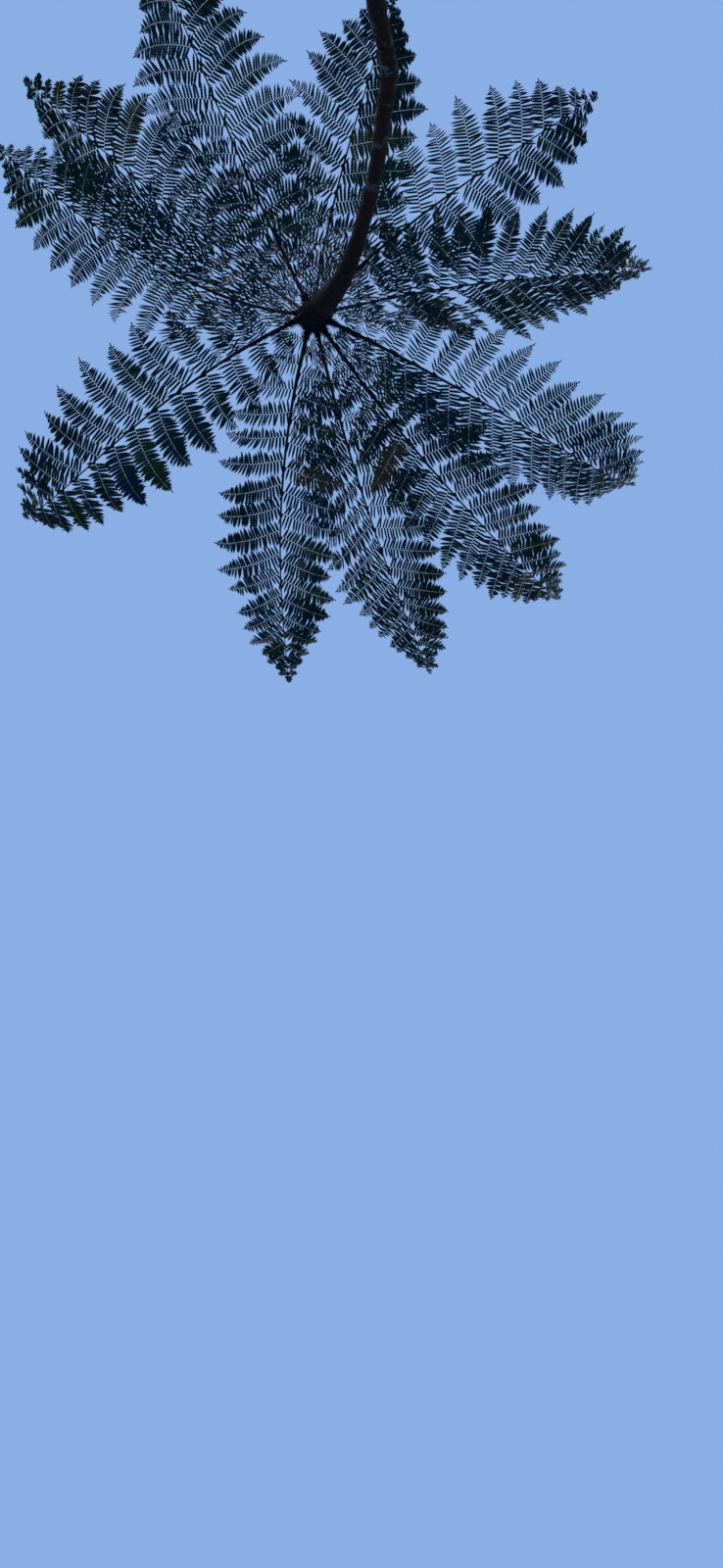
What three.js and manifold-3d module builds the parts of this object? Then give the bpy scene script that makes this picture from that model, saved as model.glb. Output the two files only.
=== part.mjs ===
// Tree fern: one slender, leaning trunk with a crown of eleven arching fronds and three croziers.
// Millimetres, +Z up. The origin is the middle of the flat cut under the trunk, at ground level.

import * as THREE from "three";
import { mergeVertices } from "three/addons/utils/BufferGeometryUtils.js";
import Module from "manifold-3d";

const wasm = await Module();
wasm.setup();

// Trunk: height to the crown, and how far its centre line stands off the upright
// at equal steps of height from the ground to the crown. A short kink towards +X
// comes on top, where the growing tip was once bent.
const HUB_HEIGHT = 9600;
const TRUNK_OFFSET_X = [0, 4, 6, 0, -12, -24, -28, -8, 52, 82, 15, -112, -310];
const TRUNK_OFFSET_Y = [0, 14, 50, 110, 195, 305, 440, 605, 772, 962, 1120, 1285, 1371];
const KINK_HEIGHT = 6720;
const KINK_OFFSET = 38;
const KINK_LENGTH = 280;
const SHAFT_RADIUS = 34;
const MANTLE_RADIUS = 38;
const MANTLE_HEIGHT = 6000;
const FLARE_RADIUS = 58;
const FLARE_HEIGHT = 260;
const SWELL_RADIUS = 52;
const SWELL_POWER = 2.2;
const SWELL_START = 7300;
const TIP_HEIGHT = 150;
const TRUNK_SIDES = 12;
const SHAFT_RINGS = 42;
const RING_SPREAD_POWER = 1.35;
const TIP_RINGS = 4;

// Fronds, counted round the crown from +X. heading and sway are where the rib points at its base
// and how far it turns on the way out, rise and droop its slope at the base and at the tip,
// roll the tilt of the blade about its rib, all in degrees. length is the rib's, leaflet that of
// the longest leaflet, tier the step on the trunk that it grows from, sweep how far the
// leaflets sweep towards the frond's tip, as a share of their length, and spread how far apart
// they sit, as a share of the usual step.
const FRONDS = [
  { heading: 16, sway: 23, rise: 50, droop: 82, roll: -14,
    length: 3000, leaflet: 560, tier: 0, sweep: 0, spread: 1 },
  { heading: 50, sway: -5, rise: 56, droop: 78, roll: -6,
    length: 3200, leaflet: 520, tier: 1, sweep: -0.05, spread: 1 },
  { heading: 78, sway: -12, rise: 67, droop: 62, roll: -25,
    length: 3400, leaflet: 620, tier: 2, sweep: -0.15, spread: 1 },
  { heading: 114, sway: -36, rise: 54, droop: 60, roll: -8,
    length: 2990, leaflet: 530, tier: 0, sweep: -0.2, spread: 1 },
  { heading: 167, sway: -45, rise: 46, droop: 86, roll: -15,
    length: 2950, leaflet: 580, tier: 0, sweep: -0.28, spread: 1.15 },
  { heading: 194, sway: 26, rise: 58, droop: 74, roll: -6,
    length: 2960, leaflet: 580, tier: 1, sweep: -0.32, spread: 1 },
  { heading: 223, sway: -7, rise: 68, droop: 62, roll: 14,
    length: 3400, leaflet: 740, tier: 2, sweep: -0.42, spread: 1.12 },
  { heading: 244, sway: 3, rise: 52, droop: 64, roll: 14,
    length: 2920, leaflet: 640, tier: 0, sweep: -0.42, spread: 1.1 },
  { heading: 269, sway: 28, rise: 66, droop: 64, roll: 5,
    length: 2780, leaflet: 600, tier: 2, sweep: -0.2, spread: 1.15 },
  { heading: 305, sway: 37, rise: 50, droop: 68, roll: 18,
    length: 2700, leaflet: 540, tier: 0, sweep: -0.22, spread: 1.2 },
  { heading: 328, sway: 39, rise: 66, droop: 54, roll: -28,
    length: 3100, leaflet: 640, tier: 2, sweep: -0.05, spread: 0.88 },
];
const TIER_STEP = 45;
const TIER_DROP = 90;
const ARCH_POWER = 1.6;
const RIB_STEPS = 24;

// Rib of a frond: a tapering rod, stout on the bare stalk and thin at the tip.
const STALK_RADIUS = 16;
const RIB_TIP_RADIUS = 2.5;
const RIB_TAPER_POWER = 0.75;
const RIB_SIDES = 5;
const RIB_RINGS = 16;

// Leaflets: thin ridged blades in alternate pairs along the rib.
const STALK_SHARE = 0.09;
const LEAFLET_PITCH = 172;
const PITCH_POWER = 1.4;
const BASE_LENGTH_SHARE = 0.4;
const WIDEST_AT = 0.45;
const TIP_FALL_POWER = 2.8;
const TIP_LENGTH_SHARE = 0.2;
const BASE_ANGLE = 82;
const TIP_ANGLE = 42;
const ANGLE_POWER = 1.4;
const LEAFLET_DROOP = 9;
const LEAFLET_BEND = 48;
const BEND_POWER = 1.6;
const BEND_STEPS = 24;
const LEAFLET_HALF_WIDTH_SHARE = 0.125;
const PITCH_HALF_WIDTH_SHARE = 0.38;
const LEAFLET_THICKNESS_SHARE = 0.014;
const LEAFLET_SIDES = 3;
const SECTION_DEPTH = 1.5;
const LEAFLET_STATIONS = [0, 0.12, 0.7, 1];
const STATION_WIDTHS = [0.12, 1, 0.85, 0];
const SHORTEST_STEP = 50;
const LAST_ROOT = 0.995;
const LEAFLET_SHRINK = 0.85;
const LEAFLET_TRIES = 6;

// Croziers: young fronds, still rolled up, in the middle of the crown.
const CROZIERS = [
  { heading: 25, height: 270, coil: 36 },
  { heading: 145, height: 180, coil: 30 },
  { heading: 246, height: 110, coil: 25 },
];
const CROZIER_SPREAD = 16;
const CROZIER_LEAN = 0.08;
const CROZIER_RADIUS = 9;
const CROZIER_SIDES = 6;
const COIL_INSET = 0.5;
const COIL_HALF_WIDTH = 11;
const COIL_FLAT_SHARE = 0.8;
const COIL_SIDES = 12;

// Clear gaps: between solids that meet, and round a leaflet that passes another frond.
const SEAT_GAP = 0.35;
const PASSING_GAP = 3;

const UP = new THREE.Vector3(0, 0, 1);
const radians = THREE.MathUtils.degToRad;

// A closed three.js geometry as a solid that can be joined and cut.
function solidOf(geometry) {
  geometry.deleteAttribute("normal");
  geometry.deleteAttribute("uv");
  const merged = mergeVertices(geometry, 1e-3);
  const vertProperties = new Float32Array(merged.attributes.position.array);
  const triVerts = new Uint32Array(merged.index.array);
  return new wasm.Manifold(new wasm.Mesh({ numProp: 3, vertProperties, triVerts }));
}

// A joined or cut solid as a three.js geometry.
function geometryOf(solid) {
  const { vertProperties, triVerts } = solid.getMesh();
  const geometry = new THREE.BufferGeometry();
  geometry.setAttribute("position", new THREE.BufferAttribute(vertProperties, 3));
  geometry.setIndex(new THREE.BufferAttribute(triVerts, 1));
  geometry.computeVertexNormals();
  return geometry;
}

// Moves every vertex of a rod or cone that stands along Y, one unit high and one unit in radius.
// place gets the share of the height and the vertex's own place in the round section.
function bend(geometry, place) {
  const position = geometry.attributes.position;
  for (let i = 0; i < position.count; i += 1) {
    const share = position.getY(i) + 0.5;
    const point = place(share, position.getZ(i), position.getX(i));
    position.setXYZ(i, point.x, point.y, point.z);
  }
  return geometry;
}

// Centre of the trunk at a height, on a smooth curve through the offsets and over the kink.
const trunkCurve = new THREE.CatmullRomCurve3(
  TRUNK_OFFSET_X.map((x, i) => {
    const height = (HUB_HEIGHT * i) / (TRUNK_OFFSET_X.length - 1);
    return new THREE.Vector3(x, TRUNK_OFFSET_Y[i], height);
  }),
  false,
  "catmullrom",
  0.5,
);
const hub = trunkCurve.getPoint(1);
const hubSlope = trunkCurve.getTangent(1).divideScalar(trunkCurve.getTangent(1).z);

function trunkCentre(height) {
  if (height > HUB_HEIGHT) {
    return hub.clone().addScaledVector(hubSlope, height - HUB_HEIGHT);
  }
  const centre = trunkCurve.getPoint(height / HUB_HEIGHT);
  centre.x += KINK_OFFSET * Math.exp(-(((height - KINK_HEIGHT) / KINK_LENGTH) ** 2));
  return centre;
}

// How far up the rounded tip a height is.
function tipShare(height) {
  return THREE.MathUtils.clamp((height - HUB_HEIGHT) / TIP_HEIGHT, 0, 1);
}

// The bare shaft is slimmest in the upper middle. A mantle of roots thickens it downwards,
// it flares at the ground, swells under the crown and ends in a rounded tip.
function trunkRadius(height) {
  const mantle = MANTLE_RADIUS * Math.max(0, 1 - height / MANTLE_HEIGHT) ** 2;
  const flare = FLARE_RADIUS * Math.exp(-height / FLARE_HEIGHT);
  const up = THREE.MathUtils.clamp((height - SWELL_START) / (HUB_HEIGHT - SWELL_START), 0, 1);
  const side = SHAFT_RADIUS + mantle + flare + SWELL_RADIUS * up ** SWELL_POWER;
  return side * Math.sqrt(1 - tipShare(height) ** 2);
}

// Heights of the trunk's rings: close together at the flare and over the tip.
function ringHeight(ring) {
  if (ring <= SHAFT_RINGS) {
    return HUB_HEIGHT * (ring / SHAFT_RINGS) ** RING_SPREAD_POWER;
  }
  return HUB_HEIGHT + TIP_HEIGHT * Math.sin(((ring - SHAFT_RINGS) / TIP_RINGS) * (Math.PI / 2));
}

function makeTrunk(grown) {
  const rings = SHAFT_RINGS + TIP_RINGS;
  return bend(new THREE.ConeGeometry(1, 1, TRUNK_SIDES, rings), (share, a, b) => {
    const height = ringHeight(Math.round(share * rings));
    const onAxis = Math.hypot(a, b) < 1e-9;
    const reach = onAxis ? 0 : (trunkRadius(height) + grown) / Math.hypot(a, b);
    const rise = grown * tipShare(height);
    return trunkCentre(height).add(new THREE.Vector3(a * reach, b * reach, rise));
  });
}

// The rib's line, from the trunk's middle outwards: its slope falls from rise to minus droop
// and its heading turns evenly by sway.
function ribCurve(frond) {
  const step = frond.length / RIB_STEPS;
  const point = new THREE.Vector3(0, 0, frond.tier * TIER_STEP - TIER_DROP);
  const points = [point.clone()];
  for (let i = 0; i < RIB_STEPS; i += 1) {
    const along = (i + 0.5) / RIB_STEPS;
    const slope = radians(frond.rise - (frond.rise + frond.droop) * along ** ARCH_POWER);
    const heading = radians(frond.heading + frond.sway * along);
    point.x += step * Math.cos(slope) * Math.cos(heading);
    point.y += step * Math.cos(slope) * Math.sin(heading);
    point.z += step * Math.sin(slope);
    points.push(point.clone());
  }
  return new THREE.CatmullRomCurve3(points, false, "catmullrom", 0.5);
}

// Directions at a place on the rib: along it, out to its left and up from the blade.
function ribFrame(curve, along, roll) {
  const forward = curve.getTangent(along);
  const level = new THREE.Vector3().crossVectors(UP, forward).normalize();
  const left = level.applyAxisAngle(forward, radians(roll));
  const above = new THREE.Vector3().crossVectors(forward, left);
  return { forward, left, above };
}

// The rod's own middle, straight from ring to ring, so that a leaflet's root lies inside it.
function rodCentre(curve, along) {
  const ring = Math.min(Math.floor(along * RIB_RINGS), RIB_RINGS - 1);
  const from = curve.getPoint(ring / RIB_RINGS);
  const to = curve.getPoint((ring + 1) / RIB_RINGS);
  return from.lerp(to, along * RIB_RINGS - ring);
}

function ribRadius(along) {
  return THREE.MathUtils.lerp(STALK_RADIUS, RIB_TIP_RADIUS, along ** RIB_TAPER_POWER);
}

function makeRib(frond, curve) {
  const rod = new THREE.CylinderGeometry(1, 1, 1, RIB_SIDES, RIB_RINGS);
  return bend(rod, (share, a, b) => {
    const { left, above } = ribFrame(curve, share, frond.roll);
    const radius = ribRadius(share);
    const point = curve.getPoint(share);
    return point.addScaledVector(left, a * radius).addScaledVector(above, b * radius);
  });
}

// Length of a leaflet by its place on the blade, as a share of the longest one.
function lengthShare(place) {
  if (place < WIDEST_AT) {
    const climb = Math.sin((Math.PI / 2) * (place / WIDEST_AT));
    return BASE_LENGTH_SHARE + (1 - BASE_LENGTH_SHARE) * climb;
  }
  const fall = (place - WIDEST_AT) / (1 - WIDEST_AT);
  return Math.max(TIP_LENGTH_SHARE, 1 - fall ** TIP_FALL_POWER);
}

// Places of a frond's leaflets: alternate ones sit half a step further out, the steps shorten
// towards the tip, and one more leaflet ends the rib.
function leafletPlaces(frond) {
  const pitch = LEAFLET_PITCH * frond.spread;
  const pairs = Math.round((frond.length * (1 - STALK_SHARE)) / pitch);
  const places = [];
  for (let i = 0; i <= 2 * pairs; i += 1) {
    const side = i % 2 === 0 ? 1 : -1;
    const count = i === 2 * pairs ? 1 : (i - (side > 0 ? 0 : 0.5)) / (2 * pairs);
    const place = 1 - (1 - count) ** PITCH_POWER;
    const next = 1 - Math.max(0, 1 - count - 1 / pairs) ** PITCH_POWER;
    const step = Math.max((next - place) * (1 - STALK_SHARE) * frond.length, SHORTEST_STEP);
    places.push({ side, place, step, order: i });
  }
  return places;
}

// How far a leaflet has reached along its aim, and how far it has dropped, at a share of its
// length: it bends down from its aim by an angle that grows by a power of the way out.
function leafletBend(out) {
  let reach = 0;
  let drop = 0;
  for (let i = 0; i < BEND_STEPS; i += 1) {
    const way = (out * (i + 0.5)) / BEND_STEPS;
    const slope = radians(LEAFLET_BEND) * way ** BEND_POWER;
    reach += (out * Math.cos(slope)) / BEND_STEPS;
    drop += (out * Math.sin(slope)) / BEND_STEPS;
  }
  return { reach, drop };
}

// One leaflet: flat below, ridged above, narrow at the rib and pointed at the tip.
// It droops below the blade, bends down under its own weight and sweeps along the rib.
function makeLeaflet(frond, curve, leaflet, size, grown) {
  const along = STALK_SHARE + (1 - STALK_SHARE) * leaflet.place;
  const { forward, left, above } = ribFrame(curve, along, frond.roll);
  const root = rodCentre(curve, Math.min(along, LAST_ROOT));
  const turn = leaflet.place ** ANGLE_POWER;
  const lean = leaflet.place < 1 ? THREE.MathUtils.lerp(BASE_ANGLE, TIP_ANGLE, turn) : 0;
  const angle = radians(lean);
  const droop = radians(LEAFLET_DROOP);
  const outwards = left.clone().multiplyScalar(leaflet.side * Math.cos(droop));
  outwards.addScaledVector(above, -Math.sin(droop));
  const aim = forward.clone().multiplyScalar(Math.cos(angle));
  aim.addScaledVector(outwards, Math.sin(angle));
  const across = forward.clone().multiplyScalar(leaflet.side * Math.sin(angle));
  across.addScaledVector(outwards, -leaflet.side * Math.cos(angle));
  const face = new THREE.Vector3().crossVectors(across, aim);
  const length = frond.leaflet * lengthShare(leaflet.place) * size;
  const widest = Math.min(length * LEAFLET_HALF_WIDTH_SHARE, leaflet.step * PITCH_HALF_WIDTH_SHARE);
  const thickness = length * LEAFLET_THICKNESS_SHARE;
  const steps = LEAFLET_STATIONS.length - 1;
  return bend(new THREE.ConeGeometry(1, 1, LEAFLET_SIDES, steps), (share, a, b) => {
    const station = Math.round(share * steps);
    const out = LEAFLET_STATIONS[station] * (station === steps ? 1 + grown / length : 1);
    const section = Math.max(1 - share, 1e-6);
    const width = (widest * STATION_WIDTHS[station] + grown) / Math.sin(Math.PI / LEAFLET_SIDES);
    const { reach, drop } = leafletBend(out);
    const point = root.clone().addScaledVector(aim, length * reach);
    point.addScaledVector(forward, length * frond.sweep * out ** 2);
    point.addScaledVector(UP, -length * drop);
    point.addScaledVector(across, (b / section) * width);
    return point.addScaledVector(face, (a / section) * (thickness / SECTION_DEPTH + grown));
  });
}

function boxesMeet(one, other) {
  return [0, 1, 2].every((k) => one.min[k] < other.max[k] && other.min[k] < one.max[k]);
}

// Whether a solid runs into any of the kept ones.
function touches(trial, kept) {
  const box = trial.boundingBox();
  return kept.some((other) => boxesMeet(box, other.box) && !trial.intersect(other.solid).isEmpty());
}

// Grows the leaflets of all fronds together, pair by pair from the stalks outwards. A leaflet
// that would touch another frond is made shorter, and left out if that isn't enough.
function growCrown() {
  const crown = FRONDS.map((frond) => {
    const curve = ribCurve(frond);
    const rib = solidOf(makeRib(frond, curve));
    return { frond, curve, kept: [{ solid: rib, box: rib.boundingBox() }] };
  });
  const queue = crown.flatMap((grower) =>
    leafletPlaces(grower.frond).map((leaflet) => ({ grower, leaflet })),
  );
  queue.sort((one, other) => one.leaflet.order - other.leaflet.order);
  for (const { grower, leaflet } of queue) {
    const rivals = crown.filter((other) => other !== grower).flatMap((other) => other.kept);
    const shape = (size, grown) =>
      solidOf(makeLeaflet(grower.frond, grower.curve, leaflet, size, grown));
    for (let attempt = 0; attempt < LEAFLET_TRIES; attempt += 1) {
      const size = LEAFLET_SHRINK ** attempt;
      if (!touches(shape(size, PASSING_GAP), rivals)) {
        const solid = shape(size, 0);
        grower.kept.push({ solid, box: solid.boundingBox() });
        break;
      }
    }
  }
  return crown.map((grower) => wasm.Manifold.union(grower.kept.map((piece) => piece.solid)));
}

// A crozier: a short stalk that leans out a little and carries its rolled-up blade as a coil.
function makeCrozier({ heading, height, coil }) {
  const facing = new THREE.Vector3(Math.cos(radians(heading)), Math.sin(radians(heading)), 0);
  const foot = facing.clone().multiplyScalar(CROZIER_SPREAD);
  const sideways = new THREE.Vector3().crossVectors(UP, facing);
  const stalk = new THREE.CylinderGeometry(1, 1, 1, CROZIER_SIDES, 1);
  const rod = bend(stalk, (share, a, b) => {
    const point = foot.clone().addScaledVector(UP, share * (TIP_HEIGHT + height));
    point.addScaledVector(facing, share * CROZIER_LEAN * height + a * CROZIER_RADIUS);
    return point.addScaledVector(sideways, b * CROZIER_RADIUS);
  });
  const profile = [
    [0, -COIL_HALF_WIDTH],
    [coil * COIL_FLAT_SHARE, -COIL_HALF_WIDTH],
    [coil, 0],
    [coil * COIL_FLAT_SHARE, COIL_HALF_WIDTH],
    [0, COIL_HALF_WIDTH],
  ].map(([x, y]) => new THREE.Vector2(x, y));
  const disc = new THREE.LatheGeometry(profile, COIL_SIDES);
  const middle = foot.clone().addScaledVector(UP, TIP_HEIGHT + height);
  middle.addScaledVector(facing, CROZIER_LEAN * height - COIL_INSET * coil);
  disc.rotateZ(radians(heading));
  disc.translate(middle.x, middle.y, middle.z);
  return solidOf(rod).add(solidOf(disc));
}

const bark = { color: 0x3b3026, roughness: 0.95, metalness: 0 };
const foliage = { color: 0x24402c, roughness: 0.6, metalness: 0 };
const scales = { color: 0x5a3f22, roughness: 0.9, metalness: 0 };

function named(name, geometry, finish) {
  const mesh = new THREE.Mesh(geometry, new THREE.MeshStandardMaterial(finish));
  mesh.name = name;
  return mesh;
}

const fern = new THREE.Group();
const crownGroup = new THREE.Group();
crownGroup.position.copy(hub);
fern.add(crownGroup);

fern.add(named("trunk", geometryOf(solidOf(makeTrunk(0))), bark));

// The trunk, grown by the seat gap and seen from the crown, trims what stands on it.
const seat = solidOf(makeTrunk(SEAT_GAP).translate(-hub.x, -hub.y, -hub.z));
growCrown().forEach((solid, i) => {
  const name = `frond-${String(i + 1).padStart(2, "0")}`;
  crownGroup.add(named(name, geometryOf(solid.subtract(seat)), foliage));
});
CROZIERS.forEach((crozier, i) => {
  const solid = makeCrozier(crozier).subtract(seat);
  crownGroup.add(named(`crozier-${i + 1}`, geometryOf(solid), scales));
});

export default fern;
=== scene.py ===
"""The tree fern's looks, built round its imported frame: a scarred trunk with a root mantle, eleven
finely divided fronds, rolled-up croziers and the scales between them. Metres, +Z up."""

import math

import bpy
import numpy as np
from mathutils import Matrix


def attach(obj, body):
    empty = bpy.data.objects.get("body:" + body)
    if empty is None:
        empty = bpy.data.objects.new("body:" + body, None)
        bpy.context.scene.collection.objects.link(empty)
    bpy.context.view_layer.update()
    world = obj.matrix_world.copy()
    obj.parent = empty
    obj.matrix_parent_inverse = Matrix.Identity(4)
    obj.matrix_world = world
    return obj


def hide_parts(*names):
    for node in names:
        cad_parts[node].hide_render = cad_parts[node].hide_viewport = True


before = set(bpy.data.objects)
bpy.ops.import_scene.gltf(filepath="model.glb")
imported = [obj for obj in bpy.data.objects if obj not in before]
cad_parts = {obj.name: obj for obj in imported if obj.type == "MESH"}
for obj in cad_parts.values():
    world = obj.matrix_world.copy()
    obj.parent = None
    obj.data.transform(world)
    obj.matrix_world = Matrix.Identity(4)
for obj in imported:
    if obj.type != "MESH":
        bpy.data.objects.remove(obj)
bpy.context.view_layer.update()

bl_info = {
    "name": "Tree fern",
    "version": (1, 0, 0),
    "blender": (4, 5, 0),
    "location": "3D View > Sidebar > Tree fern",
    "description": "Makes a slender tree fern piece by piece, and a plain stage to see it on",
    "category": "Add Mesh",
}

ROOT = "root"
UP = np.array([0.0, 0.0, 1.0])
GOLDEN_ANGLE = math.radians(137.508)

# Trunk: how far its centre line stands off the upright at equal steps of height, in metres, the
# bell-shaped kink in it, and how far up the mantle and the flare reach and the swelling starts.
TRUNK_OFFSET_X = np.array([0, 4, 6, 0, -12, -24, -28, -8, 52, 82, 15, -112, -310]) / 1000
TRUNK_OFFSET_Y = np.array([0, 14, 50, 110, 195, 305, 440, 605, 772, 962, 1120, 1285, 1371]) / 1000
KINK_HEIGHT = 6.72
KINK_OFFSET = 0.038
KINK_LENGTH = 0.28
MANTLE_HEIGHT = 6.0
FLARE_HEIGHT = 0.26
SWELL_START = 7.3
SWELL_POWER = 2.2
TIP_HEIGHT = 0.15
TIP_POINT_RADIUS = 0.0015
TRUNK_COLUMNS = 64
SHAFT_ROWS = 1490
TIP_ROWS = 16

# Bark: the heights over which scars and stubs set in and the mantle ends, and how far scars, stubs,
# ropes of roots and lumps stand out. A row of ropes is its crests round the trunk and its share, and
# wander and lumps are rows for the function waves.
BARE_ZONE = (4.2, 6.2)
STUB_ZONE = (8.5, 9.3)
MANTLE_ZONE = (3.6, 6.6)
SCAR_RIM = 0.0022
SCAR_DEPTH = 0.0014
RIM_WIDTH = 0.2
SCAR_WOBBLE = 0.15
WOBBLE_PACE = 12.9
SCARS_NEAR = 3
LEAST_SCAR_RADIUS = 0.02
STUB_RISE = 0.006
ROPES = ((7, 0.45), (13, 0.35), (22, 0.2))
ROPE_WANDER = ((4, 1, 0.7, 1.1),)
ROPE_MEAN = 0.62
SHAFT_ROPE_DEPTH = 0.0015
MANTLE_ROPE_DEPTH = 0.0075
FOOT_ROPE_DEPTH = 0.022
FOOT_HEIGHT = 0.2
LUMPS = ((6, 3, 0.25, 0.0012), (8, 6, 0.06, 0.0008))
TRUNK_SEED = 11

# Fronds: heading and sway of the rib, its rise at the base and droop at the tip, the roll of the
# blade, all in degrees, the lengths of the rib and of the longest leaflet, the step it grows from,
# how far its leaflets sweep forward, as a share of their length, and how far apart they sit, as a
# share of the usual step. full is how broad its pinnules are, tilt how much more so on its left,
# and close how much of the usual broadening the outer ones get.
FROND_KEYS = (
    "heading", "sway", "rise", "droop", "roll", "length", "leaflet",
    "tier", "sweep", "spread", "full", "tilt", "close",
)
FRONDS = np.array(
    [
        (16, 23, 50, 82, -14, 3.00, 0.56, 0, 0.00, 1.00, 0.99, 0.12, 0.35),
        (50, -5, 56, 78, -6, 3.20, 0.52, 1, -0.05, 1.00, 1.07, 0.03, 0.80),
        (78, -12, 67, 62, -25, 3.40, 0.62, 2, -0.15, 1.00, 0.98, 0.09, 0.60),
        (114, -36, 54, 60, -8, 2.99, 0.53, 0, -0.20, 1.00, 1.01, 0.02, 0.80),
        (167, -45, 46, 86, -15, 2.95, 0.58, 0, -0.28, 1.15, 1.09, -0.05, 0.80),
        (194, 26, 58, 74, -6, 2.96, 0.58, 1, -0.32, 1.00, 0.82, -0.05, 0.35),
        (223, -7, 68, 62, 14, 3.40, 0.74, 2, -0.42, 1.12, 0.91, -0.07, 0.35),
        (244, 3, 52, 64, 14, 2.92, 0.64, 0, -0.42, 1.10, 0.87, 0.00, 0.35),
        (269, 28, 66, 64, 5, 2.78, 0.60, 2, -0.20, 1.15, 1.05, 0.13, 0.35),
        (305, 37, 50, 68, 18, 2.70, 0.54, 0, -0.22, 1.20, 0.89, 0.08, 0.35),
        (328, 39, 66, 54, -28, 3.10, 0.64, 2, -0.05, 0.88, 1.10, 0.16, 0.80),
    ],
    dtype=[(key, float) for key in FROND_KEYS],
)
TIER_STEP = 0.045
TIER_DROP = 0.09
FROND_SEED = 100

# Leaflets' tints. Each has a colour and a share in the fronds' settings.
TINTS = ("deep", "blue", "fresh", "olive", "withered")

# Ribs. Their rings stand closer towards the foot, which is thickened, and warts fade out from it.
ARCH_POWER = 1.6
RIB_STEPS = 24
STALK_RADIUS = 0.016
RIB_TIP_RADIUS = 0.0025
RIB_TAPER_POWER = 0.75
RIB_SIDES = 12
RIB_RINGS = 90
RIB_RING_POWER = 1.25
FOOT_THICKENING = 1.5
FOOT_LENGTH = 0.15
GROOVE_DEPTH = 0.22
GROOVE_WIDTH = 0.45
WART_SIZE = 0.07
WART_REACH = 0.25

# Leaflets: their places on the rib and lengths, their angles in degrees off the rib, below the
# blade and in their bend, and how far chance moves each of these.
STALK_SHARE = 0.09
LEAFLET_PITCH = 0.153
SHORTEST_STEP = 0.05
PITCH_POWER = 1.4
BASE_LENGTH_SHARE = 0.4
WIDEST_AT = 0.45
TIP_FALL_POWER = 2.8
TIP_LENGTH_SHARE = 0.2
BASE_ANGLE = 82
TIP_ANGLE = 42
ANGLE_POWER = 1.4
LEAFLET_DROOP = 9
LEAFLET_BEND = 48
BEND_POWER = 1.6
BEND_STEPS = 48
LEAFLET_TWIST = 18
PLACE_CHANCE = 0.004
ANGLE_CHANCE = 2.5
DROOP_CHANCE = 4
LENGTH_CHANCE = 0.07
BEND_CHANCE = 0.25
MIDRIB_RINGS = 9
MIDRIB_SIDES = 3
MIDRIB_END = 0.985
MIDRIB_RADIUS = 0.0028
MIDRIB_TAPER = 0.0019

# Pinnules: their places on a midrib, their angles in degrees off it and below the leaflet, with a
# lean back at the leaflet's foot that dies off outwards, and their sizes, with chance in each.
USUAL_LEAFLET = 0.6
PITCH_GROWTH = 0.3
CLAD_SHARE = 0.95
FEWEST_PINNULES = 5
FIRST_PINNULE = 0.012
LAST_PINNULE = 0.985
PINNULE_POWER = 1.12
PINNULE_ANGLE = 84
ANGLE_FALL = 20
FOOT_LEAN = 12
FOOT_LEAN_REACH = 0.05
PINNULE_ANGLE_CHANCE = 5
PINNULE_DROOP = 6
PINNULE_DROOP_CHANCE = 16
PINNULE_LENGTH_CHANCE = 0.14
FULLNESS_CHANCE = 0.12
SHORTEST_PINNULE = 0.008
TIP_PINNULE_AT = 0.975
TIP_PINNULE_SHARE = 0.1
TIP_PINNULE_LENGTH = 0.012
TIP_PINNULE_HALF = 0.0045
TIP_LENGTHENING = 0.3
FOOT_FULLNESS = 0.7
FULLNESS_GAIN = 0.3

# A pinnule's outline: the share of it that is lobed, how broad it is at a notch, where a lobe's near
# and far corners stand, and how far it curls down and hooks forward, by its length.
LOBED_SHARE = 0.94
NOTCH = 0.7
NEAR_CORNER = 0.42
FAR_CORNER = 1.02
FAR_WIDTH = 0.93
PINNULE_CURL = 0.07
PINNULE_HOOK = 0.05

# Croziers: heading in degrees, height above the trunk's tip and radius of the coil.
CROZIERS = ((25, 0.27, 0.036), (145, 0.18, 0.030), (246, 0.11, 0.025))
CROZIER_SPREAD = 0.016
CROZIER_LEAN = 0.08
CROZIER_RADIUS = 0.009
CROZIER_SIDES = 14
CROZIER_STALK_RINGS = 24
COIL_INSET = 0.5
COIL_RINGS = 90
COIL_TURNS = 2.4
COIL_SHARE = 0.73
COIL_SHRINK = 0.125
COIL_THICKNESS = 0.25
COIL_TAPER = 0.11
RIDGE_SIZE = 0.12
RIDGE_PACE = 1.9
FUZZ_SIZE = 0.04
CROZIER_SEED = 5

# Scales: corners along and across one, how far it lifts and how slim it is, how far they reach down
# the trunk and stop short of its top, how deep they are rooted, and where they sit on a stalk, as a
# share of the rib before a power crowds them to the foot.
SCALE_OUTLINE = np.array([(0, 0.6), (0, -0.6), (0.35, -1), (0.35, 1), (1, 0)])
SCALE_LIFT = 0.3
SCALE_SLIMNESS = 0.05
SCALE_LENGTHS = (0.5, 1)
SCALE_WIDTHS = (0.7, 1.2)
SCALES_BELOW = 0.25
SCALE_TOP_GAP = 0.004
SCALE_ROOTING = 0.97
STALK_SCALE_ZONE = (0.02, 0.13)
STALK_SCALE_POWER = 1.3
SCALE_SEED = 23

# Stage: sides of the floor's rim, width and turns of the key light in degrees, and how steep a way
# is where light and backdrop begin and end to turn from one colour to the other, by its height.
FLOOR_SIDES = 96
KEY_WIDTH = 30
KEY_TILT = 38
KEY_TURN = -24
LIGHT_CLIMB = (0.15, 0.8)
BACKDROP_CLIMB = (0.35, 0.62)


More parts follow.
